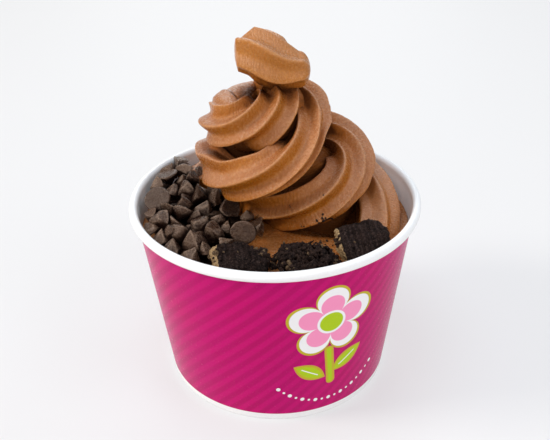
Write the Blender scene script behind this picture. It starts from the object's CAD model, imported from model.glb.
"""The looks of a cup of chocolate frozen yogurt: a printed paper cup, a star-ridged swirl of yogurt, a heap of
chocolate chips and broken sandwich cookies. Lengths in the tables are millimetres; +Z is up and the front is -Y."""

import math
import random

import bpy
import numpy as np
from mathutils import Matrix, Quaternion, Vector, noise
from mathutils.bvhtree import BVHTree


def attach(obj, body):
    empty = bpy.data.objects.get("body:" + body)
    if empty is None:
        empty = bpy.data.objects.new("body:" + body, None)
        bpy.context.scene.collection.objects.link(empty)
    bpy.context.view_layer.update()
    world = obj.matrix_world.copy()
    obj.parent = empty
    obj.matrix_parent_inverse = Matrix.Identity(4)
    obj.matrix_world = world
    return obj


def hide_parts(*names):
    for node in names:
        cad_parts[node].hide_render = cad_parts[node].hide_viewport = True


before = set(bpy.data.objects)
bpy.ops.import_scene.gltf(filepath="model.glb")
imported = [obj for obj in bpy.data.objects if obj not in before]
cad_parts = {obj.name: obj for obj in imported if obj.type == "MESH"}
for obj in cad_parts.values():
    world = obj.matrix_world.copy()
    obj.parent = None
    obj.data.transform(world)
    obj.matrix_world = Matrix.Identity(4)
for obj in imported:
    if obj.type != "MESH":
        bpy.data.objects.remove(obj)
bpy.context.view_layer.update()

MM = 0.001
BODY = "root"
VIEW_UP = np.array([0.0, 0.51, 0.86])       # "up" and "nearer" for someone who looks down at the cup from the front
VIEW_NEAR = np.array([0.0, -0.86, 0.51])

# --- paper cup, as in the solid --------------------------------------------------------------------------------
CUP_HEIGHT = 78.4
FOOT_RADIUS = 46.1
WALL_TAPER = 0.1292
WALL = 0.7
BASE_UNDER = 7.6
BEAD_WIDTH = 3.3
BEAD_HEIGHT = 4.0
RIM_INNER = 55.0
PRINT_FROM = 3.3            # height where the printed band starts
STRIPE_SLOPE = 0.99         # rise of the diagonal stripes for each millimetre round the wall
STRIPE_PERIOD = 6.56        # height from one stripe to the next

# --- yogurt, the same lines as in the solid --------------------------------------------------------------------
FILL_LEVEL = 67.0
FILL_DOME = 3.5
RIDGES = 8
RING = (
    (-0.50, 0.0, 2.0, 40.0, 56.0, 11.5, -448),
    (-0.25, 2.0, 1.0, 41.0, 54.0, 11.6, -358),
    (0.00, -0.3, 4.2, 39.4, 70.0, 11.8, -245),
    (0.25, 0.5, 4.0, 38.0, 71.0, 11.4, -155),
    (0.50, 0.0, 4.0, 38.0, 67.0, 11.0, -65),
)
RING_SPAN = (-0.30, 0.43)
COIL = (
    (0.25, 12.0, 9.0, 25.0, 70.0, 11.5, -165),
    (0.50, 14.5, 11.5, 22.3, 76.0, 11.7, -60),
    (0.75, 12.8, 11.3, 21.4, 80.0, 12.0, 19),
    (1.00, 8.7, 11.1, 20.6, 87.0, 12.1, 119),
    (1.25, 6.0, 10.2, 21.0, 92.0, 12.2, 200),
    (1.50, 1.8, 8.9, 21.4, 94.0, 12.3, 287),
    (1.75, -1.8, 7.5, 21.4, 96.0, 12.4, 389),
    (2.00, -3.9, 7.5, 16.8, 107.4, 12.3, 486),
    (2.25, -5.2, 7.0, 12.1, 109.5, 12.1, 565),
    (2.50, -8.0, 5.4, 6.3, 111.3, 12.1, 664),
    (2.75, -13.6, 4.2, 9.7, 109.6, 12.1, 752),
    (3.00, -8.6, 3.4, 10.6, 113.0, 12.0, 860),
    (3.25, -6.0, 5.0, 6.0, 116.5, 10.0, 940),
)
COIL_SPAN = (0.40, 3.25)
# The folded-over tip, in the plane that faces a viewer at the front: upper ridge (across, up), lower ridge
# (across, up), and how far the middle ridge stands above the line between them, in degrees
TIP_MIDDLE = (0.0, 4.5, 133.0)
TIP = (
    (9.9, 2.8, 10.2, -8.8, 13),
    (5.6, 5.6, 4.8, -9.9, 5),
    (-1.2, 9.9, -1.7, -9.3, 10),
    (-7.7, 12.0, -8.1, -6.0, 19),
    (-13.3, 12.2, -12.8, -3.8, 23),
)
TIP_RIDGES = 6
TIP_NOSE = 4.2
# ridge, from, to (mm across), share of its height, degrees that it is pushed round, width in degrees
TIP_SHAPED = (
    (2, -7.0, 6.5, 1.20, -20, 26),
    (4, -30.0, -6.5, 0.66, 0, 40),
    (4, -6.5, -1.5, 0.84, 0, 36),
    (0.5, -30.0, -7.0, 0.87, 0, 15),
)
TIP_CUT = (-0.64, 0.77)      # the torn end slopes away above its middle ridge (across, up)

# Where a ridge of the coil is pressed by the turn above or below it:
# ridge, from turn, to turn, share of its height left, degrees that it is pushed round, width in degrees
PRESSED = (
    (1, 1.26, 1.54, 1.00, 38, 34),
    (1, 1.54, 1.62, 1.00, 20, 32),
    (1, 1.62, 1.72, 1.00, 7, 30),
    (2, 1.26, 1.62, 0.72, 12, 30),
    (3, 1.26, 1.66, 0.80, 0, 30),
    (1, 1.82, 2.20, 0.62, 0, 30),
    (2, 1.62, 2.20, 0.45, 0, 36),
    (6, 1.50, 1.93, 0.94, 19, 26),
    (5, 1.40, 2.00, 0.42, 8, 38),
    (6, 0.40, 0.88, 0.95, 14, 26),
    (5, 0.40, 0.95, 0.50, 6, 36),
    (2, 0.40, 1.10, 0.55, 0, 34),
    (0.5, 0.70, 1.12, 1.11, 0, 20),
    (1, 0.95, 1.15, 0.90, 0, 30),
    (1, 1.00, 1.15, 0.84, 0, 30),
    (6, 2.28, 2.80, 0.42, 0, 34),
    (1, 2.34, 2.66, 0.86, 3, 26),
)
RING_PRESSED = (
    (0, -0.26, 0.12, 1.00, 12, 30),
    (7, -0.26, 0.12, 1.00, 5, 26),
    (1, -0.26, 0.20, 0.58, 10, 36),
    (2, -0.26, 0.20, 0.70, 0, 36),
)
# where the top turn lies smooth: from ridge, to ridge, from turn, to turn, share of the rope's radius
SMOOTHED = (
    (2.6, 5.6, 2.15, 3.0, 0.76),
    (1.3, 2.8, 2.30, 2.88, 0.86),
)
PRESS_FADE = 0.07


# ---------------------------------------------------------------------------------------------------------------
# Mesh helpers
def mesh_object(name, verts, faces, mats, smooth=True, attributes=(), material_index=None):
    """An object from points in millimetres. attributes: (name, value for each point)."""
    mesh = bpy.data.meshes.new(name)
    verts = np.asarray(verts, float) * MM
    mesh.from_pydata(verts.tolist(), [], [list(map(int, f)) for f in faces])
    for key, values in attributes:
        values = np.asarray(values, np.float32)
        kind = "FLOAT" if values.ndim == 1 else "FLOAT_VECTOR"
        layer = mesh.attributes.new(key, kind, "POINT")
        layer.data.foreach_set("value" if values.ndim == 1 else "vector", values.ravel())
    for mat in mats:
        mesh.materials.append(mat)
    if material_index is not None:
        mesh.polygons.foreach_set("material_index", np.asarray(material_index, np.int32))
    if smooth:
        mesh.shade_smooth()
    mesh.update()
    made = bpy.data.objects.new(name, mesh)
    bpy.context.scene.collection.objects.link(made)
    return made


def grid_faces(rows, columns, start=0, wrap=True, flip=False):
    """Quads between `rows` rings of `columns` points."""
    i, j = np.meshgrid(np.arange(rows - 1), np.arange(columns if wrap else columns - 1), indexing="ij")
    a = start + i * columns + j
    b = start + i * columns + (j + 1) % columns
    c = b + columns
    d = a + columns
    quads = np.stack([a, b, c, d], -1).reshape(-1, 4)
    return quads[:, ::-1] if flip else quads


def wobble(points, scale, seed=0.0):
    """Smooth noise in -1..1 at points in millimetres; scale is the size of a bump."""
    shift = Vector((seed * 7.31, seed * 3.17, seed * 5.77))
    return np.array([noise.noise(Vector(p) / scale + shift) for p in np.asarray(points, float)])


def wobble3(points, scale, seed=0.0):
    shift = Vector((seed * 7.31, seed * 3.17, seed * 5.77))
    return np.array([noise.noise_vector(Vector(p) / scale + shift) for p in np.asarray(points, float)])


def spline(knots, values, at):
    """A natural cubic spline through the values at the knots."""
    knots, values, at = np.asarray(knots, float), np.asarray(values, float), np.asarray(at, float)
    n = len(knots)
    h = np.diff(knots)
    slopes = np.diff(values, axis=0) / h[:, None]
    rows = np.eye(n)
    right = np.zeros_like(values)
    for i in range(1, n - 1):
        rows[i, i - 1], rows[i, i], rows[i, i + 1] = h[i - 1], 2 * (h[i - 1] + h[i]), h[i]
        right[i] = 6 * (slopes[i] - slopes[i - 1])
    bend = np.linalg.solve(rows, right)
    i = np.clip(np.searchsorted(knots, at, side="right") - 1, 0, n - 2)
    d = (at - knots[i])[:, None]
    hi = h[i][:, None]
    first = slopes[i] - hi * (2 * bend[i] + bend[i + 1]) / 6
    return values[i] + d * (first + d * (bend[i] / 2 + d * (bend[i + 1] - bend[i]) / (6 * hi)))


def unit(v):
    return v / np.linalg.norm(v, axis=-1, keepdims=True)


def wall_radius(z):
    return FOOT_RADIUS + WALL_TAPER * z


# ---------------------------------------------------------------------------------------------------------------
# Node helpers
class Nodes:
    """A short way to write a material's nodes."""

    def __init__(self, name):
        self.mat = bpy.data.materials.new(name)
        self.mat.use_nodes = True
        self.tree = self.mat.node_tree
        self.shader = self.tree.nodes["Principled BSDF"]

    def put(self, socket, value):
        if isinstance(value, bpy.types.NodeSocket):
            self.tree.links.new(value, socket)
        elif isinstance(value, (int, float)) and hasattr(socket.default_value, "__len__"):
            socket.default_value = [value] * len(socket.default_value)
        else:
            socket.default_value = value

    def node(self, kind, out=0, **inputs):
        made = self.tree.nodes.new(kind)
        for key, value in inputs.items():
            if hasattr(made, key) and key not in ("inputs", "outputs"):
                setattr(made, key, value)
            else:
                self.put(made.inputs[key.replace("_", " ")], value)
        return made.outputs[out]

    def math(self, operation, a, b=0.0, c=0.0, clamp=False):
        made = self.tree.nodes.new("ShaderNodeMath")
        made.operation = operation
        made.use_clamp = clamp
        for socket, value in zip(made.inputs, (a, b, c)):
            self.put(socket, value)
        return made.outputs[0]

    def mix(self, factor, a, b, blend="MIX"):
        made = self.tree.nodes.new("ShaderNodeMix")
        made.data_type = "RGBA"
        made.blend_type = blend
        made.clamp_factor = True
        self.put(made.inputs[0], factor)
        for index, value in ((6, a), (7, b)):
            self.put(made.inputs[index], (*value, 1.0) if isinstance(value, tuple) and len(value) == 3 else value)
        return made.outputs[2]

    def attribute(self, name, out=2):
        made = self.tree.nodes.new("ShaderNodeAttribute")
        made.attribute_name = name
        return made.outputs[out]

    def noise(self, vector, scale, detail=2.0, rough=0.5, distortion=0.0, out=0):
        made = self.tree.nodes.new("ShaderNodeTexNoise")
        self.put(made.inputs["Vector"], vector)
        made.inputs["Scale"].default_value = scale
        made.inputs["Detail"].default_value = detail
        made.inputs["Roughness"].default_value = rough
        made.inputs["Distortion"].default_value = distortion
        return made.outputs[out]

    def voronoi(self, vector, scale, feature="F1", out=0, randomness=1.0):
        made = self.tree.nodes.new("ShaderNodeTexVoronoi")
        made.feature = feature
        self.put(made.inputs["Vector"], vector)
        made.inputs["Scale"].default_value = scale
        made.inputs["Randomness"].default_value = randomness
        return made.outputs[out]

    def range(self, value, a, b, c=0.0, d=1.0, smooth=False):
        made = self.tree.nodes.new("ShaderNodeMapRange")
        made.interpolation_type = "SMOOTHSTEP" if smooth else "LINEAR"
        made.clamp = True
        for socket, v in zip(made.inputs, (value, a, b, c, d)):
            self.put(socket, v)
        return made.outputs[0]

    def coords(self):
        """Position in millimetres, in the object's frame."""
        where = self.tree.nodes.new("ShaderNodeTexCoord").outputs["Object"]
        made = self.tree.nodes.new("ShaderNodeVectorMath")
        made.operation = "SCALE"
        self.put(made.inputs[0], where)
        made.inputs["Scale"].default_value = 1 / MM
        return made.outputs[0]

    def split(self, vector):
        made = self.tree.nodes.new("ShaderNodeSeparateXYZ")
        self.put(made.inputs[0], vector)
        return made.outputs

    def bump(self, height, distance_mm, strength=1.0, normal=None):
        made = self.tree.nodes.new("ShaderNodeBump")
        made.inputs["Strength"].default_value = strength
        made.inputs["Distance"].default_value = distance_mm * MM
        self.put(made.inputs["Height"], height)
        if normal is not None:
            self.put(made.inputs["Normal"], normal)
        return made.outputs[0]

    def set(self, **values):
        for key, value in values.items():
            if isinstance(value, tuple) and len(value) == 3 and "Radius" not in key:
                value = (*value, 1.0)
            self.put(self.shader.inputs[key.replace("_", " ")], value)
        return self.mat


# ---------------------------------------------------------------------------------------------------------------
# Camera, light and floor
def stage():
    camera = bpy.data.objects.new("camera", bpy.data.cameras.new("camera"))
    bpy.context.scene.collection.objects.link(camera)
    right = Vector((0.99979544, -0.00995279, -0.01760738)).normalized()
    up = Vector((0.02022141, 0.50975275, 0.86008327)).normalized()
    back = right.cross(up).normalized()
    up = back.cross(right)
    turn = Matrix((right, up, back)).transposed().to_4x4()
    camera.matrix_world = Matrix.Translation(Vector((0.0, -0.29569, 0.24113))) @ turn
    camera.data.sensor_width = 36.0
    camera.data.lens = 54.896
    camera.data.clip_start, camera.data.clip_end = 0.01, 20.0
    bpy.context.scene.camera = camera

    world = bpy.data.worlds.new("studio")
    bpy.context.scene.world = world
    world.use_nodes = True
    ground = world.node_tree.nodes["Background"]
    ground.inputs["Color"].default_value = (0.95, 0.975, 1.0, 1.0)
    ground.inputs["Strength"].default_value = 0.46

    def softbox(name, place, aim, size, power, colour):
        data = bpy.data.lights.new(name, "AREA")
        data.shape = "RECTANGLE"
        data.size, data.size_y = size
        data.energy = power
        data.color = colour
        made = bpy.data.objects.new(name, data)
        made.location = place
        made.rotation_mode = "QUATERNION"
        made.rotation_quaternion = (Vector(aim) - Vector(place)).to_track_quat("-Z", "Y")
        bpy.context.scene.collection.objects.link(made)

    softbox("left", (-1.60, -0.20, 1.15), (0, 0, 0.08), (0.55, 0.55), 24.0, (1.0, 0.955, 0.88))
    softbox("back", (0.0, 1.90, 0.82), (0, 0, 0.08), (1.00, 1.00), 10.0, (0.94, 0.99, 1.0))
    softbox("right", (0.60, -0.40, 0.75), (0, 0, 0.08), (0.40, 0.40), 2.2, (0.92, 0.95, 1.0))
    softbox("far_right", (0.60, 0.45, 0.70), (0, 0, 0.08), (0.40, 0.40), 1.2, (0.72, 0.86, 1.0))
    softbox("front", (0.0, -1.0, 0.35), (0, 0, 0.08), (0.50, 0.50), 2.6, (1.0, 0.93, 0.94))
    softbox("above", (-0.20, -0.10, 1.05), (0, 0, 0.08), (0.50, 0.50), 3.6, (0.76, 0.87, 1.0))

    floor_look = Nodes("pale table")
    floor_look.set(Base_Color=(0.31, 0.31, 0.31), Roughness=0.5, Specular_IOR_Level=0.05, Emission_Color=(1.0, 0.988, 0.998), Emission_Strength=0.505)
    floor = mesh_object("floor", [(-3000, -3000, -0.05), (3000, -3000, -0.05), (3000, 3000, -0.05), (-3000, 3000, -0.05)], [(0, 1, 2, 3)], [floor_look.mat], smooth=False)


# ---------------------------------------------------------------------------------------------------------------
# Yogurt
def coil_line(stations, span, per_turn):
    count = int(round((span[1] - span[0]) * per_turn)) + 1
    turn = np.linspace(span[0], span[1], count)
    table = np.array(stations)
    cx, cy, coil_r, z, rope_r, ridge = spline(table[:, 0], table[:, 1:], turn).T
    angle = 2 * math.pi * turn
    line = np.stack([cx + coil_r * np.cos(angle), cy + coil_r * np.sin(angle), z], 1)
    along = unit(np.gradient(line, axis=0))
    outward = np.stack([np.cos(angle), np.sin(angle), 0 * angle], 1)
    outward = unit(outward - along * np.sum(outward * along, 1, keepdims=True))
    upward = np.cross(along, outward)
    upward *= np.sign(upward[:, 2:3])
    ridge = np.radians(ridge)[:, None]
    first = np.cos(ridge) * outward + np.sin(ridge) * upward
    return line, rope_r, first, np.cross(along, first)


def tip_sections(seed, depth=0.28, rounding=0.17):
    """The tip as rings of points from its rounded nose to its torn end."""
    table = np.array(TIP)
    at = np.linspace(0, len(TIP) - 1, 84)
    ax, av, cx, cv, lean = spline(np.arange(len(TIP)), table, at).T
    across, up, near = np.array([1.0, 0, 0]), VIEW_UP, VIEW_NEAR
    top = np.array(TIP_MIDDLE) + ax[:, None] * across + av[:, None] * up
    low = np.array(TIP_MIDDLE) + cx[:, None] * across + cv[:, None] * up
    lean = np.radians(lean)
    radii = np.linalg.norm(top - low, axis=1) / (2 * math.sin(math.pi / 3) * np.cos(lean))
    rise = unit(top - low)
    line = top - rise * (radii * np.sin(math.pi / 3 + lean))[:, None]
    # the nose
    turn = np.radians(np.linspace(86, 5, 16))
    line = np.concatenate([line[0] + TIP_NOSE * np.sin(turn)[:, None] * across, line])
    rise = np.concatenate([np.repeat(rise[:1], len(turn), 0), rise])
    soft = np.concatenate([np.cos(turn), np.ones(len(radii))])
    lean = np.concatenate([np.full(len(turn), lean[0]), lean])
    radii = np.concatenate([radii[0] * np.cos(turn), radii])
    angles, reach, dips = star(depth, rounding=rounding, ridges=TIP_RIDGES)
    angles = lean[:, None] + angles[None, :]
    reach = 1 - (1 - reach)[None, :] * soft[:, None] ** 0.5 * np.interp(radii, [5, 9], [0.75, 1])[:, None]
    place = np.concatenate([np.full(len(turn), ax[0]), ax])
    ease = lambda x: np.clip(x, 0, 1) ** 2 * (3 - 2 * np.clip(x, 0, 1))
    base = star(depth, rounding=rounding, ridges=TIP_RIDGES)[0]
    for ridge, begin, end, left, push, width in TIP_SHAPED:
        amount = ease((place - begin) / 5.0 + 0.5) * ease((end - place) / 5.0 + 0.5)
        gap = (base - 2 * math.pi * ridge / TIP_RIDGES + math.pi) % (2 * math.pi) - math.pi
        near_by = np.exp(-(gap / math.radians(width)) ** 2)[None, :] * amount[:, None]
        reach = reach * (1 - (1 - left) * near_by)
        angles = angles + math.radians(push) * np.exp(-(gap / math.radians(width * 1.3)) ** 2)[None, :] * amount[:, None]
    ring = np.cos(angles)[..., None] * near + np.sin(angles)[..., None] * rise[:, None, :]
    return line, radii, ring, reach, dips


def star(depth, rounding=0.20, power=1.8, ridges=RIDGES):
    """Angles round a ridged rope and the share of its radius there: sharp crests with hollow flanks between."""
    share = np.array([0.0, 0.035, 0.08, 0.14, 0.22, 0.33, 0.46, 0.62, 0.80])
    half = np.concatenate([share, [1.0], share[:0:-1]])         # from one crest to the next
    side = np.concatenate([share, [1.0], 2 - share[:0:-1]]) / 2
    angles, dips = [], []
    for ridge in range(ridges):
        for s, h in zip(side, half):
            angles.append(2 * math.pi * (ridge + s) / ridges)
            dips.append(h)
    dips = np.array(dips)
    soft = (np.sqrt(dips ** 2 + rounding ** 2) - rounding) / (math.sqrt(1 + rounding ** 2) - rounding)
    sunk = 1 - (1 - soft) ** power
    return np.array(angles), 1 - depth * sunk, dips


def pressed(angles, reach, turns, table, smoothed):
    """Each section's angles and reach, with ridges flattened or pushed round where another turn presses on them."""
    angles = np.repeat(angles[None, :], len(turns), axis=0)
    reach = np.repeat(reach[None, :], len(turns), axis=0)
    ease = lambda x: np.clip(x, 0, 1) ** 2 * (3 - 2 * np.clip(x, 0, 1))
    out_angles, out_reach = angles.copy(), reach.copy()
    for ridge, begin, end, left, push, width in table:
        amount = ease((turns - begin) / PRESS_FADE + 0.5) * ease((end - turns) / PRESS_FADE + 0.5)
        gap = (angles + 2 * math.pi * ridge / RIDGES + math.pi) % (2 * math.pi) - math.pi
        near = np.exp(-(gap / math.radians(width)) ** 2) * amount[:, None]
        out_reach *= 1 - (1 - left) * near
        out_angles -= math.radians(push) * np.exp(-(gap / math.radians(width * 1.3)) ** 2) * amount[:, None]
    for low, high, begin, end, level in smoothed:
        amount = ease((turns - begin) / 0.16 + 0.5) * ease((end - turns) / 0.16 + 0.5)
        place = (-angles * RIDGES / (2 * math.pi)) % RIDGES
        near = ease((place - low) / 0.5 + 0.5) * ease((high - place) / 0.5 + 0.5) * amount[:, None]
        out_reach = out_reach * (1 - near) + level * near
    return out_angles, out_reach


def rope(line_data, turns, table, smoothed=(), depth=0.24, seed=0.0, start=0, rounding=0.20):
    """Points, faces and attributes of a ridged rope along a line."""
    line, radii, first, second = line_data
    angles, reach, dips = star(depth, rounding=rounding)
    angles, reach = pressed(angles, reach, turns, table, smoothed)
    ring = np.cos(angles)[..., None] * first[:, None, :] + np.sin(angles)[..., None] * second[:, None, :]
    return skin(line, radii, ring, reach, dips, seed, start)


def skin(line, radii, ring, reach, dips, seed, start, bulge=0.0, cut=None, wander=0.28):
    """The surface through the sections, gently uneven, with closed ends."""
    sections, around = reach.shape
    points = line[:, None, :] + ring * (radii[:, None] * reach)[..., None]
    flat = points.reshape(-1, 3)
    dip = np.tile(dips, sections)
    shift = wander * wobble(flat, 9.0, seed) + 0.10 * wobble(flat, 2.6, seed + 1)
    # the crests are thin, so they are ragged on a small scale
    shift -= 0.16 * np.clip(wobble(flat, 1.6, seed + 2), 0, 1) * np.exp(-(dip / 0.18) ** 2)
    shift *= np.repeat(np.clip(radii / radii.max(), 0, 1), around)
    flat = flat + ring.reshape(-1, 3) * shift[:, None]
    travelled = np.concatenate([[0], np.cumsum(np.linalg.norm(np.diff(line, axis=0), axis=1))])
    along = np.repeat(travelled, around)
    body = flat.reshape(sections, around, 3)
    tangent = unit(np.gradient(line, axis=0))
    # rounded ends
    shares = np.array([0.93, 0.80, 0.62, 0.42, 0.2])
    ends = []
    for end, out in ((0, 0.0), (sections - 1, bulge)):
        ends.append([line[end] + (body[end] - line[end]) * s + tangent[end] * out * (1 - s * s) for s in shares])
    cloud = np.concatenate([np.array(ends[0][::-1]), body, np.array(ends[1])])
    rows = len(cloud)
    faces = grid_faces(rows, around, start)
    points = np.concatenate([cloud.reshape(-1, 3), [line[0]], [line[-1] + tangent[-1] * bulge]])
    if cut is not None:
        cut = unit(cut[0] * np.array([1.0, 0, 0]) + cut[1] * VIEW_UP)
        beyond = np.clip((points - body[-1, 0]) @ cut, 0, None)
        points -= tangent[-1] * (beyond / (tangent[-1] @ cut))[:, None]
    a, b = start + rows * around, start + rows * around + 1
    last = start + (rows - 1) * around
    caps = []
    for k in range(around):
        n = (k + 1) % around
        caps.append((a, start + n, start + k))
        caps.append((b, last + k, last + n))
    dip = np.concatenate([np.ones(5 * around), dip, np.ones(5 * around), [1, 1]])
    along = np.concatenate([np.full(5 * around, along[0]), along, np.full(5 * around, along[-1]), [along[0], along[-1]]])
    return points, [*faces, *caps], dip, along


def coil_core(start):
    """What fills the middle of the coil behind the crevices between its turns."""
    table = np.array(COIL)
    level = np.linspace(62.0, 108.0, 24)
    order = np.argsort(table[:10, 4])
    rings = []
    count = 48
    angle = np.linspace(0, 2 * math.pi, count, endpoint=False)
    for z in level:
        cx, cy, r = (np.interp(z, table[order, 4], table[order, k]) for k in (1, 2, 3))
        r = r - 3.0
        rings.append(np.stack([cx + r * np.cos(angle), cy + r * np.sin(angle), np.full(count, z)], 1))
    points = np.concatenate(rings)
    faces = list(grid_faces(len(rings), count, start))
    a, b = start + len(points), start + len(points) + 1
    last = start + (len(rings) - 1) * count
    for k in range(count):
        n = (k + 1) % count
        faces.append((a, start + n, start + k))
        faces.append((b, last + k, last + n))
    points = np.concatenate([points, [rings[0].mean(0)], [rings[-1].mean(0)]])
    return points, faces, np.ones(len(points)), points[:, 2]


def sunk_in(objects, name, rays=18, limit=13.0, shares=(1.0, 1.0), way_up=(0.0, 0.0, 1.0)):
    """Gives each point of the objects the share of the sky that they hide from it nearby, and how far it faces up."""
    points, faces, starts = [], [], []
    for made in objects:
        starts.append(len(points))
        points += [v.co / MM for v in made.data.vertices]
        faces += [[starts[-1] + i for i in p.vertices] for p in made.data.polygons]
    tree = BVHTree.FromPolygons(points, faces)
    turn = np.arange(rays) * math.pi * (3 - math.sqrt(5))
    level = 1 - 2 * (np.arange(rays) + 0.5) / rays
    ball = np.stack([np.sqrt(1 - level ** 2) * np.cos(turn), np.sqrt(1 - level ** 2) * np.sin(turn), level], 1)
    for made, share in zip(objects, shares):
        mesh = made.data
        count = len(mesh.vertices)
        place = np.empty(count * 3, np.float32)
        out = np.empty(count * 3, np.float32)
        mesh.vertices.foreach_get("co", place)
        mesh.vertex_normals.foreach_get("vector", out)
        place, out = place.reshape(-1, 3) / MM, out.reshape(-1, 3)
        origin = (place + out * 0.12).tolist()
        ways = (out[:, None, :] + ball[None, :, :] * 0.999).tolist()
        hidden = np.zeros(count)
        for k in range(count):
            start = Vector(origin[k])
            for way in ways[k]:
                if tree.ray_cast(start, Vector(way), limit)[0] is not None:
                    hidden[k] += 1
        layer = mesh.attributes.new(name, "FLOAT", "POINT")
        layer.data.foreach_set("value", (share * hidden / rays).astype(np.float32))
        layer = mesh.attributes.new("up", "FLOAT", "POINT")
        layer.data.foreach_set("value", (out @ unit(np.array(way_up))).astype(np.float32))


def join_parts(parts):
    """Joins (points, faces, ...) whose faces already count from their own start."""
    points = np.concatenate([p[0] for p in parts])
    faces = [f for p in parts for f in p[1]]
    extra = [np.concatenate([p[i] for p in parts]) for i in range(2, len(parts[0]))]
    return (points, faces, *extra)


def yogurt_look():
    look = Nodes("chocolate frozen yogurt")
    where = look.coords()
    along = look.attribute("along")
    broad = look.noise(where, 0.06, 2, 0.5)
    fine = look.noise(where, 0.9, 3, 0.6)
    colour = look.mix(look.range(broad, 0.35, 0.65), (0.390, 0.117, 0.0058), (0.322, 0.092, 0.0044))
    colour = look.mix(look.range(fine, 0.50, 0.74, 0, 0.42), colour, (0.50, 0.200, 0.036))
    colour = look.mix(look.range(fine, 0.48, 0.30, 0, 0.16), colour, (0.26, 0.070, 0.010))
    # the crests are the palest, in thin lines
    colour = look.mix(look.range(look.attribute("dip"), 0.16, 0.02, 0, 0.40), colour, (0.560, 0.255, 0.095))
    # a faint bloom of frost on what faces up, and darker where it sits deep between the ridges
    bloom = look.math("MULTIPLY", look.range(look.attribute("up"), 0.28, 0.95, 0, 0.50), look.range(look.attribute("dip"), 0.85, 1.0, 1.0, 0.45))
    colour = look.mix(bloom, colour, (0.410, 0.200, 0.122))
    # the peak is frostier than the rest
    height = look.split(where)[2]
    colour = look.mix(look.range(height, 112, 134, 0, 0.20), colour, (0.600, 0.260, 0.055))
    sunk = look.attribute("sunk")
    colour = look.mix(look.range(sunk, 0.10, 0.40, 0, 0.62), colour, (0.270, 0.080, 0.0160))
    colour = look.mix(look.range(sunk, 0.40, 0.72, 0, 0.84), colour, (0.055, 0.0165, 0.0060))
    grain = look.noise(where, 1.7, 3, 0.65)
    made = look.tree.nodes.new("ShaderNodeCombineXYZ")
    look.put(made.inputs[0], along)
    wander = look.noise(where, 0.25, 2, 0.5)
    ripple = look.math("SINE", look.math("ADD", look.math("MULTIPLY", along, 5.2), look.math("MULTIPLY", wander, 16.0)))
    height = look.math("ADD", look.math("MULTIPLY", grain, 0.7), look.math("MULTIPLY", ripple, 0.09))
    normal = look.bump(height, 0.50, 1.0)
    look.set(
        Base_Color=colour, Roughness=look.range(fine, 0.3, 0.7, 0.18, 0.34), Normal=normal,
        Specular_IOR_Level=look.range(sunk, 0.10, 0.42, 0.58, 0.04), Specular_Tint=(1.0, 0.90, 0.74),
        Subsurface_Weight=0.06, Subsurface_Scale=0.0012,
    )
    look.shader.inputs["Subsurface Radius"].default_value = (1.0, 0.38, 0.16)
    return look.mat


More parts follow.
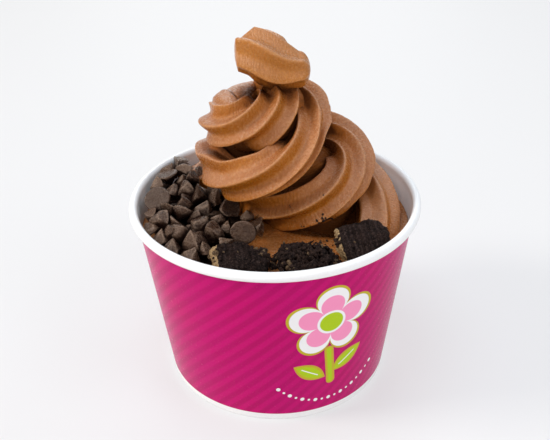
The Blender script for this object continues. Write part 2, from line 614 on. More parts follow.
def make_yogurt():
    look = yogurt_look()
    line = coil_line(COIL, COIL_SPAN, 150)
    coil = rope(line, np.linspace(*COIL_SPAN, len(line[0])), PRESSED, SMOOTHED, depth=0.27, seed=1.0, rounding=0.16)
    line, radii, ring, reach, dips = tip_sections(4.0)
    tip = skin(line, radii, ring, reach, dips, 4.0, len(coil[0]), bulge=1.0, cut=TIP_CUT)
    core = coil_core(len(coil[0]) + len(tip[0]))
    points, faces, dip, along = join_parts([coil, tip, core])
    swirl = mesh_object("yogurt_swirl", points, faces, [look], attributes=[("dip", dip), ("along", along)])

    # the fill: turned, with a gently uneven top
    inner = lambda z: wall_radius(z) - WALL - 0.05
    radii = np.concatenate([np.linspace(0.3, inner(FILL_LEVEL) - 1.6, 60), [inner(FILL_LEVEL) - 0.7, inner(FILL_LEVEL) - 0.15]])
    count = 180
    angle = np.linspace(0, 2 * math.pi, count, endpoint=False)
    top = []
    for i, r in enumerate(radii):
        s = min(1.0, r / (inner(FILL_LEVEL) - 1.5))
        z = FILL_LEVEL + FILL_DOME * (1 - s * s) + (0.35 if i == len(radii) - 2 else 0.0)
        top.append(np.stack([r * np.cos(angle), r * np.sin(angle), np.full(count, z)], 1))
    edge = [
        np.stack([inner(z) * np.cos(angle), inner(z) * np.sin(angle), np.full(count, z)], 1)
        for z in (FILL_LEVEL - 1.0, 45.0, 25.0, BASE_UNDER + 1.6)
    ]
    cloud = np.concatenate(top + edge)
    upper = len(top) * count
    lift = 0.9 * wobble(cloud[:upper], 11.0, 6) + 0.35 * wobble(cloud[:upper], 3.5, 7)
    # a hollow under the lowest turn, between the broken cookies
    lift -= 6.0 * np.exp(-((cloud[:upper, 0] - 24) / 11.0) ** 2 - ((cloud[:upper, 1] + 11) / 7.0) ** 2)
    cloud[:upper, 2] += lift * np.repeat(np.clip(1.2 - radii / 55, 0.25, 1), count)
    rows = len(top) + len(edge)
    faces = list(grid_faces(rows, count, 0, flip=True))
    a, b = rows * count, rows * count + 1
    last = (rows - 1) * count
    for k in range(count):
        n = (k + 1) % count
        faces.append((a, k, n))
        faces.append((b, last + n, last + k))
    cloud = np.concatenate([cloud, [[0, 0, FILL_LEVEL + FILL_DOME]], [[0, 0, BASE_UNDER + 1.6]]])
    flat_along = np.linalg.norm(cloud[:, :2], axis=1)
    fill = (cloud, faces, np.ones(len(cloud)), flat_along)
    line = coil_line(RING, RING_SPAN, 150)
    ring = rope(line, np.linspace(*RING_SPAN, len(line[0])), RING_PRESSED, seed=2.0, start=len(cloud))
    points, faces, dip, along = join_parts([fill, ring])
    base = mesh_object("yogurt_fill", points, faces, [look], attributes=[("dip", dip), ("along", along)])
    for piece in (swirl, base):
        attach(piece, BODY)
    sunk_in([swirl, base], "sunk", shares=(1.0, 0.62))
    for value in list(swirl.data.attributes["sunk"].data)[-len(core[0]):]:
        value.value = max(value.value, 0.60)
    # the hollow under the lowest turn, where next to no light comes
    for (x, y, _), value in zip(cloud, base.data.attributes["sunk"].data):
        value.value *= 1 + 0.75 * math.exp(-(((x - 24) / 10) ** 4) - ((y + 12) / 9) ** 4)
    for vertex, value in zip(swirl.data.vertices, swirl.data.attributes["sunk"].data):
        x, y, z = vertex.co / MM
        if y < 0:
            value.value *= 1 + 0.9 * math.exp(-(((x - 23) / 14) ** 4) - ((z - 69) / 7) ** 4)
    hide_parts("yogurt")
    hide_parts("yogurt")


# ---------------------------------------------------------------------------------------------------------------
# Cup
# the printed flower: middle round the wall and up, in millimetres
FLOWER = (20.0, 50.5)
PETALS = 5
PETAL_LONG = 16.5
LEAVES = ((12.6, 25.6, 6.6, 2.7, 32), (28.6, 28.4, 6.8, 2.7, -36))     # middle, half length, half width, turn
STEM = ((20.0, 36.0), (22.0, 18.8))
DOTS = (22.0, 40.0, 31.5)         # the arc of dots: middle and radius
DOTS_SPAN = (-48.0, 50.0)
DOTS_STEP = 5.6


def printed_shapes(look, arc, z):
    """The print's fields of colour: a flower over an arc of dots."""
    m = look.math
    edge = lambda d, width=0.10: look.range(d, width, -width)          # 1 inside
    across = m("SUBTRACT", arc, FLOWER[0])
    above = m("SUBTRACT", z, FLOWER[1])
    r = m("SQRT", m("ADD", m("MULTIPLY", across, across), m("MULTIPLY", above, above)))
    turn = m("ARCTAN2", across, above)
    lobe = m("ABSOLUTE", m("COSINE", m("MULTIPLY", turn, PETALS / 2)))
    reach = m("MULTIPLY", m("ADD", m("MULTIPLY", m("POWER", lobe, 0.55), 0.52), 0.48), PETAL_LONG)
    petals = m("MULTIPLY", m("SUBTRACT", r, reach), 0.85)
    inner = m("MULTIPLY", m("SUBTRACT", r, m("SUBTRACT", m("MULTIPLY", reach, 0.86), 1.2)), 0.85)
    heart = m("SUBTRACT", r, 4.6)
    ring = m("SUBTRACT", r, 5.6)
    (ax, az), (bx, bz) = STEM
    long = math.dist(STEM[0], STEM[1])
    ux, uz = (bx - ax) / long, (bz - az) / long
    px, pz = m("SUBTRACT", arc, ax), m("SUBTRACT", z, az)
    t = m("MINIMUM", m("MAXIMUM", m("ADD", m("MULTIPLY", px, ux), m("MULTIPLY", pz, uz)), 0.0), long)
    qx, qz = m("SUBTRACT", px, m("MULTIPLY", t, ux)), m("SUBTRACT", pz, m("MULTIPLY", t, uz))
    stem = m("SUBTRACT", m("SQRT", m("ADD", m("MULTIPLY", qx, qx), m("MULTIPLY", qz, qz))), 0.95)
    green = stem
    veins = None
    for lx, lz, half, wide, turned in LEAVES:
        c, s = math.cos(math.radians(turned)), math.sin(math.radians(turned))
        dx, dz = m("SUBTRACT", arc, lx), m("SUBTRACT", z, lz)
        u = m("ADD", m("MULTIPLY", dx, c), m("MULTIPLY", dz, -s))
        v = m("ADD", m("MULTIPLY", dx, s), m("MULTIPLY", dz, c))
        # a leaf: two arcs that meet in points
        bow = m("MULTIPLY", m("SUBTRACT", 1.0, m("MULTIPLY", m("DIVIDE", u, half), m("DIVIDE", u, half))), wide)
        leaf = m("MULTIPLY", m("SUBTRACT", m("ABSOLUTE", v), bow), 0.85)
        green = m("MINIMUM", green, leaf)
        vein = m("MAXIMUM", m("SUBTRACT", m("ABSOLUTE", v), 0.22), m("SUBTRACT", m("ABSOLUTE", u), half * 0.62))
        veins = vein if veins is None else m("MINIMUM", veins, vein)
    every = m("MINIMUM", petals, green)
    outline = edge(m("SUBTRACT", every, 0.95))
    # the dots
    dx, dz = m("SUBTRACT", arc, DOTS[0]), m("SUBTRACT", DOTS[1], z)
    rho = m("SQRT", m("ADD", m("MULTIPLY", dx, dx), m("MULTIPLY", dz, dz)))
    place = m("MULTIPLY", m("ARCTAN2", dx, dz), 180 / math.pi)
    near = m("MULTIPLY", m("ROUND", m("DIVIDE", place, DOTS_STEP)), DOTS_STEP)
    side = m("MULTIPLY", m("SUBTRACT", place, near), math.pi / 180 * DOTS[2])
    off = m("SUBTRACT", rho, DOTS[2])
    big = m("COSINE", m("MULTIPLY", near, math.pi / DOTS_STEP))
    size = m("ADD", m("MULTIPLY", big, 0.17), 0.72)
    dot = m("SUBTRACT", m("SQRT", m("ADD", m("MULTIPLY", side, side), m("MULTIPLY", off, off))), size)
    within = m("MULTIPLY", m("GREATER_THAN", near, DOTS_SPAN[0]), m("LESS_THAN", near, DOTS_SPAN[1]))
    dots = m("MULTIPLY", edge(dot), within)
    return edge(petals), edge(inner), edge(heart), edge(ring), edge(green), edge(veins), outline, dots


def cup_look():
    look = Nodes("printed cup board")
    where = look.coords()
    x, y, z = look.split(where)
    angle = look.math("ARCTAN2", x, look.math("MULTIPLY", y, -1.0))      # 0 at the front, growing to the right
    arc = look.math("MULTIPLY", angle, 51.0)
    grain = look.noise(where, 1.2, 3, 0.6)
    cloud = look.noise(where, 0.05, 2, 0.5)
    slope = look.math("ADD", look.math("MULTIPLY", arc, -STRIPE_SLOPE), z)
    stripe = look.math("SINE", look.math("MULTIPLY", slope, 2 * math.pi / STRIPE_PERIOD))
    band = look.range(stripe, -0.75, 0.75, smooth=True)
    ink = look.mix(band, (0.425, 0.0030, 0.112), (0.515, 0.0036, 0.138))
    ink = look.mix(look.range(cloud, 0.35, 0.65, 0, 0.25), ink, (0.440, 0.003, 0.152))
    petals, inner, heart, ring, green, veins, outline, dots = printed_shapes(look, arc, z)
    white = (0.84, 0.83, 0.83)
    ink = look.mix(outline, ink, (0.500, 0.400, 0.028))
    ink = look.mix(green, ink, (0.400, 0.560, 0.014))
    ink = look.mix(look.math("MULTIPLY", veins, green), ink, white)
    ink = look.mix(petals, ink, white)
    ink = look.mix(inner, ink, (0.860, 0.285, 0.480))
    ink = look.mix(ring, ink, white)
    ink = look.mix(heart, ink, (0.400, 0.560, 0.014))
    ink = look.mix(dots, ink, white)
    printed = look.range(z, PRINT_FROM - 0.12, PRINT_FROM + 0.12)
    outer = look.math("SQRT", look.math("ADD", look.math("MULTIPLY", x, x), look.math("MULTIPLY", y, y)))
    beyond = look.math("SUBTRACT", outer, look.math("ADD", FOOT_RADIUS - 0.35, look.math("MULTIPLY", z, WALL_TAPER)))
    outside = look.math("GREATER_THAN", beyond, 0.0)
    under_bead = look.math("LESS_THAN", z, CUP_HEIGHT - BEAD_HEIGHT + 0.1)
    mask = look.math("MULTIPLY", look.math("MULTIPLY", printed, outside), under_bead)
    board = look.mix(look.range(grain, 0.3, 0.7), (0.86, 0.855, 0.85), (0.82, 0.815, 0.805))
    colour = look.mix(mask, board, ink)
    look.set(Base_Color=colour, Roughness=look.range(grain, 0.3, 0.7, 0.22, 0.28), Specular_IOR_Level=0.07,
             Normal=look.bump(grain, 0.02, 0.6))
    return look.mat


def make_cup():
    profile = []
    bead_mid, bead_z = RIM_INNER + BEAD_WIDTH / 2, CUP_HEIGHT - BEAD_HEIGHT / 2
    for i in range(0, 25):
        a = math.radians(180 - 10 * i)
        profile.append((bead_mid + BEAD_WIDTH / 2 * math.cos(a), bead_z + BEAD_HEIGHT / 2 * math.sin(a)))
    join = CUP_HEIGHT - BEAD_HEIGHT + 0.25
    profile.append((wall_radius(join) + 0.25, join - 0.05))
    profile.append((wall_radius(join), join - 0.3))
    for z in np.linspace(join - 1.5, 1.0, 24):
        profile.append((wall_radius(z), z))
    profile += [(wall_radius(0.4), 0.4), (wall_radius(0.1) - 0.15, 0.1), (wall_radius(0.0) - 0.45, 0.0)]
    profile += [(wall_radius(0.0) - 1.1, 0.0), (wall_radius(0.2) - 1.3, 0.25)]
    profile += [(wall_radius(BASE_UNDER - 0.6) - 1.3, BASE_UNDER - 0.6), (wall_radius(BASE_UNDER) - 1.7, BASE_UNDER)]
    profile += [(30.0, BASE_UNDER), (15.0, BASE_UNDER), (0.4, BASE_UNDER)]
    profile += [(0.4, BASE_UNDER + 0.8), (30.0, BASE_UNDER + 0.8), (wall_radius(BASE_UNDER) - 2.2, BASE_UNDER + 0.8)]
    profile += [(wall_radius(BASE_UNDER + 1.6) - WALL, BASE_UNDER + 1.6)]
    for z in np.linspace(BASE_UNDER + 4, CUP_HEIGHT - BEAD_HEIGHT - 0.6, 20):
        profile.append((wall_radius(z) - WALL, z))
    profile.append((RIM_INNER + 0.1, CUP_HEIGHT - BEAD_HEIGHT + 0.6))
    count = 320
    angle = np.linspace(0, 2 * math.pi, count, endpoint=False)
    # the wall's board overlaps itself in a side seam at the back
    gap = (angle - math.pi / 2) * 51.0
    seam = 0.32 * np.clip((gap + 5.0) / 1.2, 0, 1) * np.clip((1.0 - gap) / 1.4, 0, 1)
    rows = []
    for i, (r, z) in enumerate(profile):
        wall = 1.0 if abs(r - wall_radius(z)) < 0.3 and 0.3 < z < join - 0.2 else 0.0
        rows.append(np.stack([(r + wall * seam) * np.cos(angle), (r + wall * seam) * np.sin(angle), np.full(count, z)], 1))
    points = np.concatenate(rows)
    faces = list(grid_faces(len(rows), count, 0, flip=True))
    last = (len(rows) - 1) * count
    for k in range(count):
        n = (k + 1) % count
        faces.append((last + n, last + k, k, n))
    cup = mesh_object("paper_cup", points, faces, [cup_look()])
    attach(cup, BODY)
    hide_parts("cup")


# ---------------------------------------------------------------------------------------------------------------
# Chocolate chips
CHIP_BASE = 4.7
CHIP_HEIGHT = 6.4
HEAP_FROM, HEAP_TO = 141, 251       # sector that the heap fills, degrees anticlockwise from +X
# x, y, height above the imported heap, the way the tip points (degrees in the front view, then towards the viewer), size
CHIPS = (
    (-41.7, 31.0, 1.0, 125, 5, 1.00),
    (-45.0, 24.5, 0.8, 70, 25, 0.95),
    (-44.6, 15.5, 1.0, -75, -25, 1.02),
    (-49.4, 11.5, 0.0, 200, 20, 0.86),
    (-46.6, -1.0, 0.4, -60, -72, 1.13),
    (-39.3, 22.0, 1.0, 165, 35, 0.98),
    (-38.0, 13.6, 1.2, 95, 42, 0.98),
    (-33.6, 14.3, 1.0, -35, 15, 0.86),
    (-41.8, 9.0, 0.0, 80, 10, 0.80),
    (-37.0, 5.6, 0.2, 208, 25, 1.02),
    (-29.8, 0.3, 1.6, -22, -14, 1.06),
    (-36.2, -4.7, 0.8, 100, 42, 1.10),
    (-27.8, -7.2, 1.0, 78, 42, 1.06),
    (-22.9, -2.6, 1.2, -25, -35, 0.94),
    (-18.8, -11.6, 1.8, -150, -45, 1.10),
    (-10.9, -15.2, 2.2, 90, 35, 0.62),
    (-27.8, -18.9, 1.2, 68, 38, 1.06),
    (-36.4, -12.0, 0.2, -110, 15, 0.98),
    (-45.6, -15.0, 0.2, 172, 22, 1.10),
    (-40.2, -23.0, 0.4, 110, 35, 0.92),
    (-35.4, -22.6, 0.8, 55, 38, 0.98),
    (-31.0, -29.5, 0.6, 104, 32, 1.10),
    (-22.6, -25.6, 0.2, -12, 18, 1.10),
    (-19.0, -20.6, 0.4, 85, 10, 0.70),
    (-12.2, -27.0, 2.2, 100, -76, 1.04),
    (-6.9, -24.0, 0.6, -58, -18, 1.04),
    (-50.0, -9.0, -1.6, 170, 0, 0.86),
    (-49.4, -17.6, -1.6, 120, 12, 0.86),
    (-44.2, -24.0, -1.0, 100, 20, 0.90),
    (-38.6, -31.0, -1.2, 80, 20, 0.92),
    (-30.6, -36.4, -1.2, 60, 22, 0.90),
    (-26.4, -32.6, -0.8, 95, 20, 0.74),
    (-25.6, 5.8, 0.6, 100, 12, 0.95),
    (-22.0, -18.0, 0.0, -65, 22, 0.80),
    (-17.4, -31.0, -0.6, 20, 20, 0.86),
    (-50.6, 3.5, -1.4, 150, 5, 0.90),
    (-32.6, 22.4, 0.2, 60, 20, 0.95),
    (-31.4, 8.2, -0.6, 120, 10, 0.95),
    (-42.0, -7.4, -1.2, 250, 10, 0.95),
    (-31.6, -13.4, -0.8, 200, 12, 0.95),
)


def heap_height(y):
    return 74.6 + 2.6 * (y + 40) / 70


def chip_shape(rng, rubs):
    """One chip: a teardrop on a flat round foot, rubbed flat here and there, its tip a little bent."""
    profile = [
        (0.0, 0.22), (0.45, 0.14), (0.82, 0.0), (0.95, 0.05), (1.0, 0.30), (0.995, 0.70), (0.95, 1.25), (0.86, 1.95),
        (0.74, 2.65), (0.60, 3.35), (0.46, 4.05), (0.33, 4.75), (0.215, 5.35), (0.12, 5.85), (0.045, 6.25), (0.0, 6.4),
    ]
    count = 22
    angle = np.linspace(0, 2 * math.pi, count, endpoint=False)
    points = [np.array([[0, 0, profile[0][1]]])]
    for r, z in profile[1:-1]:
        points.append(np.stack([r * CHIP_BASE * np.cos(angle), r * CHIP_BASE * np.sin(angle), np.full(count, z)], 1))
    points.append(np.array([[0, 0, profile[-1][1]]]))
    points = np.concatenate(points)
    rows = len(profile) - 2
    faces = [tuple(f) for f in grid_faces(rows, count, 1)]
    last = 1 + (rows - 1) * count
    for k in range(count):
        n = (k + 1) % count
        faces.append((0, 1 + n, 1 + k))
        faces.append((last + count, last + k, last + n))
    points[:, 2] -= CHIP_HEIGHT * 0.42
    # rubbed faces, paler along their edges and round the foot
    foot = np.clip(1 - np.abs(np.hypot(points[:, 0], points[:, 1]) / CHIP_BASE - 0.98) / 0.05, 0, 1)
    edge = foot * (points[:, 2] < 0.9 - CHIP_HEIGHT * 0.42)
    for _ in range(rubs):
        turn, rise = rng.uniform(0, 2 * math.pi), rng.uniform(0.0, 0.95)
        normal = np.array([math.cos(turn) * math.cos(rise), math.sin(turn) * math.cos(rise), math.sin(rise)])
        beyond = points @ normal
        limit = beyond.max() * rng.uniform(0.56, 0.88)
        edge = np.maximum(edge, np.exp(-((beyond - limit) / 0.30) ** 2))
        points -= np.clip(beyond - limit, 0, None)[:, None] * normal * 0.94
    lift = np.clip(points[:, 2] / CHIP_HEIGHT + 0.42, 0, 1)
    turn = rng.uniform(0, 2 * math.pi)
    bend = rng.uniform(0.2, 1.3)
    points[:, 0] += bend * math.cos(turn) * lift ** 2
    points[:, 1] += bend * math.sin(turn) * lift ** 2
    squash = rng.uniform(0.90, 1.0)
    points[:, 0] *= squash
    return points, faces, edge


def place_chip(x, y, z, across, near, size, rng):
    points, faces, edge = chip_shape(rng, 0 if near < -50 else rng.randint(4, 7))
    across, near = math.radians(across), math.radians(near)
    tip = math.cos(near) * (math.cos(across) * np.array([1.0, 0, 0]) + math.sin(across) * VIEW_UP) + math.sin(near) * VIEW_NEAR
    tip = Vector(unit(tip))
    turn = tip.to_track_quat("Z", "Y") @ Quaternion((0, 0, 1), rng.uniform(0, 6.28))
    points = points @ np.array(turn.to_matrix()).T * size
    r = math.hypot(x, y)
    most = wall_radius(z) - WALL - 0.25
    far = np.linalg.norm(points[:, :2] + np.array([x, y]), axis=1).max()
    pull = max(0.0, far - most)
    where = np.array([x * (1 - pull / r), y * (1 - pull / r), z])
    points = points + where
    points += 0.10 * wobble3(points, 1.5, 3.0) + 0.10 * wobble3(points, 3.6, 5.0)
    return points, faces, edge


def chip_heap():
    rng = random.Random(41)
    placed = [(x, y, heap_height(y) + up, a, n, s) for x, y, up, a, n, s in CHIPS]
    # the chips that show between and behind the placed ones
    for layer, gap in ((0.2, 6.4), (-2.2, 5.4), (-4.6, 5.4)):
        for row in np.arange(20.0, 52.0, 4.6):
            count = int(math.radians(HEAP_TO - HEAP_FROM) * row / 5.0)
            for i in range(count + 1):
                a = math.radians(HEAP_FROM + (HEAP_TO - HEAP_FROM) * (i + rng.uniform(0.2, 0.8)) / (count + 1))
                r = min(row + rng.uniform(-1.4, 1.4), 50.5)
                x, y = r * math.cos(a), r * math.sin(a)
                z = heap_height(y) + layer + rng.uniform(-0.7, 0.5)
                if any(math.dist((x, y, z), p[:3]) < gap for p in placed) or (x > -25 and y < -29):
                    continue
                placed.append((x, y, z, rng.uniform(0, 360), rng.uniform(-30, 75), rng.uniform(0.86, 1.02)))
    clouds, faces, shade, edges, start = [], [], [], [], 0
    for x, y, z, across, near, size in placed:
        points, own, edge = place_chip(x, y, z, across, near, size, rng)
        clouds.append(points)
        faces += [tuple(start + i for i in f) for f in own]
        shade.append(np.full(len(points), rng.uniform(0, 1)))
        edges.append(edge)
        start += len(points)
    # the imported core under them
    low, high = math.radians(HEAP_FROM + 5), math.radians(HEAP_TO - 5)
    radii = np.linspace(17, 49.5, 18)
    angles = np.linspace(low, high, 44)
    top = []
    for r in radii:
        ring = np.stack([r * np.cos(angles), r * np.sin(angles), 0 * angles], 1)
        ring[:, 2] = heap_height(ring[:, 1]) - 5.4
        top.append(ring)
    top = np.concatenate(top)
    top[:, 2] += 0.8 * wobble(top, 3.2, 9)
    base = top.copy()
    base[:, 2] = 66.5
    cloud = np.concatenate([top, base])
    n, m = len(radii), len(angles)
    faces += [tuple(f) for f in grid_faces(n, m, start, wrap=False)]
    faces += [tuple(f) for f in grid_faces(n, m, start + n * m, wrap=False, flip=True)]
    border = [*range(m), *[i * m + m - 1 for i in range(1, n)], *[(n - 1) * m + j for j in range(m - 2, -1, -1)], *[i * m for i in range(n - 2, 0, -1)]]
    for k, a in enumerate(border):
        b = border[(k + 1) % len(border)]
        faces.append((start + b, start + a, start + n * m + a, start + n * m + b))
    clouds.append(cloud)
    shade.append(np.zeros(len(cloud)))
    edges.append(np.zeros(len(cloud)))
    return np.concatenate(clouds), faces, np.concatenate(shade), np.concatenate(edges)


def chip_look():
    look = Nodes("dark chocolate")
    where = look.coords()
    shade = look.attribute("shade")
    broad = look.noise(where, 0.60, 3, 0.6)
    fine = look.noise(where, 1.3, 4, 0.75)
    dark = look.mix(shade, (0.0140, 0.0052, 0.0034), (0.032, 0.0135, 0.0082))
    dusty = look.mix(shade, (0.036, 0.0155, 0.0082), (0.096, 0.050, 0.028))
    facing = look.math("ADD", look.attribute("up"), look.math("MULTIPLY", look.math("SUBTRACT", broad, 0.5), 3.0))
    colour = look.mix(look.range(facing, 0.0, 0.80), dark, dusty)
    colour = look.mix(look.range(fine, 0.54, 0.72, 0, 0.55), colour, (0.170, 0.105, 0.068))
    colour = look.mix(look.range(fine, 0.46, 0.30, 0, 0.55), colour, (0.022, 0.0085, 0.0055))
    worn = look.math("ADD", look.attribute("edge"), look.math("MULTIPLY", look.math("SUBTRACT", fine, 0.5), 1.6))
    colour = look.mix(look.range(worn, 0.35, 1.05, 0, 0.60), colour, (0.260, 0.172, 0.118))
    sunk = look.attribute("sunk")
    colour = look.mix(look.range(sunk, 0.20, 0.56, 0, 0.93), colour, (0.0080, 0.0032, 0.0024))
    height = look.math("ADD", look.math("MULTIPLY", broad, 0.6), look.math("MULTIPLY", fine, 0.7))
    look.set(Base_Color=colour, Roughness=look.range(fine, 0.3, 0.7, 0.19, 0.36), Normal=look.bump(height, 0.55, 1.0),
             Specular_IOR_Level=look.range(sunk, 0.2, 0.5, 0.54, 0.05), Specular_Tint=(1.0, 0.82, 0.70))
    return look.mat


def make_chips():
    points, faces, shade, edges = chip_heap()
    heap = mesh_object("chocolate_chip_heap", points, faces, [chip_look()], attributes=[("shade", shade), ("edge", edges)])
    heap.data.set_sharp_from_angle(angle=math.radians(26))
    sunk_in([heap], "sunk", rays=14, limit=7.0, way_up=(-0.30, -0.45, 0.84))
    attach(heap, BODY)
    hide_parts("chocolate_chips")


# ---------------------------------------------------------------------------------------------------------------
# Broken sandwich cookies and their crumbs
COOKIES = (
    # name, middle, half sizes, turn, tilt, share of the left face that is filling, how crumbly, how round, how much
    # the right end tapers
    ("cookie_chunk_1", (-13.0, -40.0, 71.9), (10.2, 7.2, 4.9), 5, (24, 5), 1.0, 0.40, 0.42, 0.45),
    ("cookie_chunk_2", (10.7, -40.2, 70.8), (9.9, 7.3, 5.1), -5, (20, -3), 0.3, 1.0, 0.38, 0.2),
    ("cookie_chunk_3", (32.6, -28.2, 70.2), (9.7, 8.2, 5.7), 14, (30, -3), 1.0, 0.25, 0.16, 0.0),
)


def chunk_shape(middle, half, turn, tilt, filling, crumbly, rounded, taper, seed):
    """A broken piece: two dark wafers with filling between, its outer face lightly ridged and its breaks ragged."""
    step = 0.42
    counts = [max(8, int(round(2 * h / step))) for h in half]
    index, points = {}, []

    def corner(i, j, k):
        key = (i, j, k)
        if key not in index:
            index[key] = len(points)
            points.append([2 * i / counts[0] - 1, 2 * j / counts[1] - 1, 2 * k / counts[2] - 1])
        return index[key]

    faces = []
    nx, ny, nz = counts
    for i in range(nx):
        for j in range(ny):
            faces.append((corner(i, j, nz), corner(i + 1, j, nz), corner(i + 1, j + 1, nz), corner(i, j + 1, nz)))
            faces.append((corner(i, j, 0), corner(i, j + 1, 0), corner(i + 1, j + 1, 0), corner(i + 1, j, 0)))
    for i in range(nx):
        for k in range(nz):
            faces.append((corner(i, 0, k), corner(i + 1, 0, k), corner(i + 1, 0, k + 1), corner(i, 0, k + 1)))
            faces.append((corner(i, ny, k), corner(i, ny, k + 1), corner(i + 1, ny, k + 1), corner(i + 1, ny, k)))
    for j in range(ny):
        for k in range(nz):
            faces.append((corner(0, j, k), corner(0, j, k + 1), corner(0, j + 1, k + 1), corner(0, j + 1, k)))
            faces.append((corner(nx, j, k), corner(nx, j + 1, k), corner(nx, j + 1, k + 1), corner(nx, j, k + 1)))
    cube = np.array(points)
    half = np.array(half)
    p = cube * half
    radius = 1.9
    inner = np.clip(p, -(half - radius), half - radius)
    out = unit(p - inner)
    p = inner + radius * out
    ball = unit(cube) * half * 1.12
    p = p + (ball - p) * rounded
    out = unit(out * (1 - rounded) + unit(cube / half) * rounded)
    # broad, medium and fine breaks; the outer face keeps its moulded flatness
    outer_face = np.clip(out[:, 2], 0, 1) ** 2
    broken = 1 - 0.75 * outer_face * (1 - crumbly)
    move = 1.3 * wobble(p, 5.5, seed) + 0.75 * wobble(p, 2.2, seed + 1) * broken + 0.50 * wobble(p, 0.95, seed + 2) * broken
    pits = np.clip(wobble(p, 1.5, seed + 3) - 0.15, 0, 1)
    move -= 2.2 * pits * broken * (0.35 + crumbly)
    # moulded rows of small lumps on the outer face
    rows = np.cos(p[:, 0] * 3.1 + 0.6 * wobble(p, 4.0, seed + 4)) * (0.55 + 0.45 * np.cos(p[:, 1] * 4.0 + 0.8 * wobble(p, 3.0, seed + 5)))
    rows *= outer_face * (1 - 0.8 * crumbly)
    move += 0.26 * rows
    # the filling sits back a little between the wafers
    layer = np.exp(-((p[:, 2] + 0.3 * half[2]) / (0.42 * half[2])) ** 4)
    side = np.clip(np.abs(out[:, 0]) + np.abs(out[:, 1]), 0, 1)
    move -= 0.5 * layer * side
    q = p + out * move[:, None]
    toward = np.clip((p[:, 0] / half[0] - 0.15) / 0.6, 0, 1)
    q[:, 1] -= taper * 0.42 * toward ** 2 * (3 - 2 * toward) * (p[:, 1] + half[1])
    q[:, 2] -= taper * 0.16 * toward * (p[:, 2] + half[2])
    left = np.clip((-out[:, 0] - 0.38) / 0.22, 0, 1)
    ragged = np.clip(0.5 + 2.2 * wobble(p, 1.6, seed + 6), 0, 1)
    cream = left * (0.56 + 0.44 * ragged) * filling
    cream = np.maximum(cream, 0.62 * layer * side * np.clip(0.4 + 2.0 * wobble(p, 2.4, seed + 7), 0, 1) * (0.35 + 0.4 * crumbly))
    cream = np.clip(cream, 0, 1)
    q += out * (0.35 * cream * wobble(p, 0.8, seed + 8))[:, None]
    spin = (
        Matrix.Rotation(math.radians(turn), 3, "Z") @ Matrix.Rotation(math.radians(tilt[0]), 3, "X")
        @ Matrix.Rotation(math.radians(tilt[1]), 3, "Y")
    )
    q = q @ np.array(spin).T + np.array(middle)
    worn = np.clip(0.25 + 1.1 * rows + 0.7 * wobble(p, 1.2, seed + 9), 0, 1) * outer_face
    return q, faces, cream, worn


def cookie_look():
    look = Nodes("dark cookie")
    where = look.coords()
    broad = look.noise(where, 0.35, 3, 0.6)
    fine = look.noise(where, 1.9, 4, 0.7)
    bits = look.voronoi(where, 1.5)
    cream = look.attribute("cream")
    colour = look.mix(look.range(broad, 0.35, 0.65), (0.0045, 0.0019, 0.0016), (0.020, 0.0102, 0.0083))
    colour = look.mix(look.range(fine, 0.53, 0.70, 0, 0.80), colour, (0.125, 0.082, 0.066))
    colour = look.mix(look.range(fine, 0.46, 0.34, 0, 0.8), colour, (0.0045, 0.0020, 0.0016))
    colour = look.mix(look.range(bits, 0.10, 0.0, 0, 0.4), colour, (0.10, 0.058, 0.032))
    colour = look.mix(look.range(look.attribute("worn"), 0.30, 0.95, 0, 0.55), colour, (0.058, 0.038, 0.035))
    pale = look.mix(look.range(fine, 0.4, 0.62), (0.26, 0.145, 0.060), (0.56, 0.39, 0.21))
    edge = look.math("ADD", cream, look.math("MULTIPLY", look.math("SUBTRACT", fine, 0.5), 0.75))
    colour = look.mix(look.range(edge, 0.42, 0.56), colour, pale)
    sunk = look.attribute("sunk")
    colour = look.mix(look.range(sunk, 0.14, 0.40, 0, 0.85), colour, (0.003, 0.0014, 0.0012))
    height = look.math("ADD", look.math("MULTIPLY", fine, 1.0), look.math("MULTIPLY", bits, 0.5))
    look.set(Base_Color=colour, Roughness=look.range(fine, 0.3, 0.7, 0.45, 0.85), Specular_IOR_Level=look.range(sunk, 0.1, 0.35, 0.08, 0.0),
             Normal=look.bump(height, 0.90, 1.0))
    return look.mat


def crumb_look():
    look = Nodes("cookie crumbs")
    where = look.coords()
    tone = look.attribute("tone")
    fine = look.noise(where, 2.4, 3, 0.7)
    dark = look.mix(look.range(fine, 0.35, 0.65), (0.009, 0.0045, 0.0035), (0.040, 0.021, 0.015))
    tan = look.mix(look.range(fine, 0.35, 0.65), (0.060, 0.034, 0.018), (0.170, 0.110, 0.062))
    colour = look.mix(look.range(tone, 0.45, 0.55), dark, tan)
    look.set(Base_Color=colour, Roughness=look.range(fine, 0.3, 0.7, 0.6, 0.9), Specular_IOR_Level=0.14,
             Normal=look.bump(fine, 0.25, 1.0))
    return look.mat


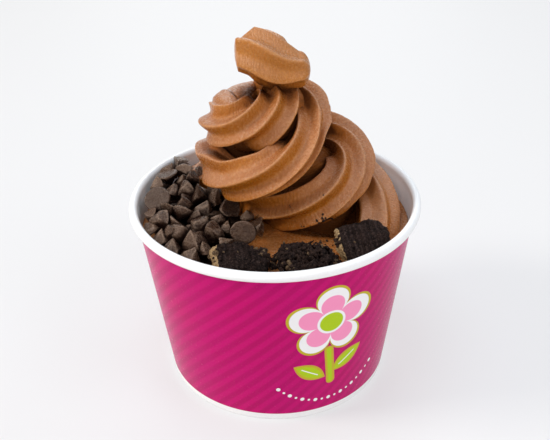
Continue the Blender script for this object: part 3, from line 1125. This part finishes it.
def crumb(rng, size):
    """A rough little block."""
    t = (1 + math.sqrt(5)) / 2
    base = [(-1, t, 0), (1, t, 0), (-1, -t, 0), (1, -t, 0), (0, -1, t), (0, 1, t), (0, -1, -t), (0, 1, -t), (t, 0, -1), (t, 0, 1), (-t, 0, -1), (-t, 0, 1)]
    tris = [(0, 11, 5), (0, 5, 1), (0, 1, 7), (0, 7, 10), (0, 10, 11), (1, 5, 9), (5, 11, 4), (11, 10, 2), (10, 7, 6), (7, 1, 8),
            (3, 9, 4), (3, 4, 2), (3, 2, 6), (3, 6, 8), (3, 8, 9), (4, 9, 5), (2, 4, 11), (6, 2, 10), (8, 6, 7), (9, 8, 1)]
    points = [unit(np.array(p, float)) for p in base]
    middle = {}
    faces = []
    for a, b, c in tris:
        mids = []
        for u, v in ((a, b), (b, c), (c, a)):
            key = (min(u, v), max(u, v))
            if key not in middle:
                middle[key] = len(points)
                points.append(unit(points[u] + points[v]))
            mids.append(middle[key])
        ab, bc, ca = mids
        faces += [(a, ab, ca), (b, bc, ab), (c, ca, bc), (ab, bc, ca)]
    points = np.array(points)
    seed = rng.uniform(0, 50)
    points *= (1 + 0.55 * wobble(points, 0.8, seed))[:, None]
    points *= np.array([rng.uniform(0.75, 1.2), rng.uniform(0.75, 1.2), rng.uniform(0.6, 1.0)])
    turn = Quaternion((rng.uniform(-1, 1), rng.uniform(-1, 1), rng.uniform(-1, 1)), rng.uniform(0, 6.28))
    return points @ np.array(turn.to_matrix()).T * size / 2, faces


def surface_of(names):
    """What is already modelled, to drop crumbs on: its points in millimetres."""
    from mathutils.bvhtree import BVHTree

    points, faces = [], []
    for name in names:
        mesh = bpy.data.objects[name].data
        start = len(points)
        points += [v.co / MM for v in mesh.vertices]
        faces += [tuple(start + i for i in f.vertices) for f in mesh.polygons]
    return BVHTree.FromPolygons(points, faces)


# where crumbs lie: middle and spread across and up the front view, how many, sizes, how many of them are pale
CRUMBS = (
    ((-2.8, -38.0), (4.2, 3.5), 60, (0.8, 2.2), 0.25),
    ((2.0, -32.5), (4.5, 3.0), 46, (0.7, 2.0), 0.15),
    ((10.0, -31.0), (8.5, 2.6), 60, (0.7, 1.9), 0.20),
    ((22.0, -33.0), (3.2, 4.5), 50, (0.7, 2.0), 0.22),
    ((3.0, -45.5), (4.5, 2.4), 30, (0.7, 2.0), 0.40),
    ((9.5, -40.0), (12.0, 7.0), 110, (0.5, 1.5), 0.14),
    ((-24.5, -42.0), (4.5, 3.0), 30, (0.7, 1.8), 0.50),
    ((-15.5, -39.5), (8.0, 6.0), 30, (0.4, 1.0), 0.12),
    ((32.0, -28.0), (8.0, 7.0), 30, (0.4, 0.9), 0.12),
    ((16.0, -24.5), (6.0, 2.5), 26, (0.4, 1.3), 0.10),
    ((-27.0, -20.0), (9.0, 9.0), 16, (0.3, 0.7), 0.7),
)


# crumbs stuck to the front of the lowest turn: middle (x, z) and spread, how many, sizes
STUCK = (
    ((18.6, 80.6), (3.4, 1.6), 16, (0.45, 1.25)),
    ((10.5, 77.6), (5.0, 1.2), 8, (0.35, 0.8)),
    ((5.6, 86.0), (1.5, 1.0), 2, (0.4, 0.7)),
)


def make_cookies():
    look = cookie_look()
    for seed, (name, *shape) in enumerate(COOKIES):
        points, faces, cream, worn = chunk_shape(*shape, 20 + 9 * seed)
        piece = mesh_object(name.replace("chunk", "piece"), points, faces, [look], attributes=[("cream", cream), ("worn", worn)])
        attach(piece, BODY)
        sunk_in([piece], "sunk", rays=12, limit=2.5)
        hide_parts(name)


def make_crumbs():
    rng = random.Random(5)
    ground = surface_of(["yogurt_swirl", "yogurt_fill", "chocolate_chip_heap", "cookie_piece_1", "cookie_piece_2", "cookie_piece_3"])
    clouds, faces, tone, start = [], [], [], 0
    down = Vector((0, 0, -1))
    for (x0, y0), (sx, sy), count, (least, most), pale in CRUMBS:
        for _ in range(count):
            x, y = rng.gauss(x0, sx / 2), rng.gauss(y0, sy / 2)
            if math.hypot(x, y) > 53.0:
                continue
            hit, normal, _, _ = ground.ray_cast(Vector((x, y, 110)), down)
            if hit is None or hit.z > 92:
                continue
            size = least + (most - least) * rng.random() ** 1.8
            points, own = crumb(rng, size)
            clouds.append(points + np.array(hit) + np.array(normal) * size * 0.22)
            faces += [tuple(start + i for i in f) for f in own]
            tone.append(np.full(len(points), 1.0 if rng.random() < pale else 0.0))
            start += len(points)
    for (x0, z0), (sx, sz), count, (least, most) in STUCK:
        for _ in range(count):
            origin = Vector((rng.gauss(x0, sx / 2), -25.0, rng.gauss(z0, sz / 2))) - 40 * Vector(VIEW_NEAR * -1)
            hit, normal, _, _ = ground.ray_cast(origin, Vector(VIEW_NEAR * -1))
            if hit is None or hit.z < 74:
                continue
            size = least + (most - least) * rng.random() ** 1.5
            points, own = crumb(rng, size)
            clouds.append(points + np.array(hit) + np.array(normal) * size * 0.15)
            faces += [tuple(start + i for i in f) for f in own]
            tone.append(np.zeros(len(points)))
            start += len(points)
    crumbs = mesh_object("cookie_crumbs", np.concatenate(clouds), faces, [crumb_look()], smooth=False,
                         attributes=[("tone", np.concatenate(tone))])
    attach(crumbs, BODY)
    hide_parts("cookie_chunk_2")


stage()
make_cup()
make_yogurt()
make_chips()
make_cookies()
make_crumbs()

bpy.context.scene.view_settings.view_transform = "Standard"
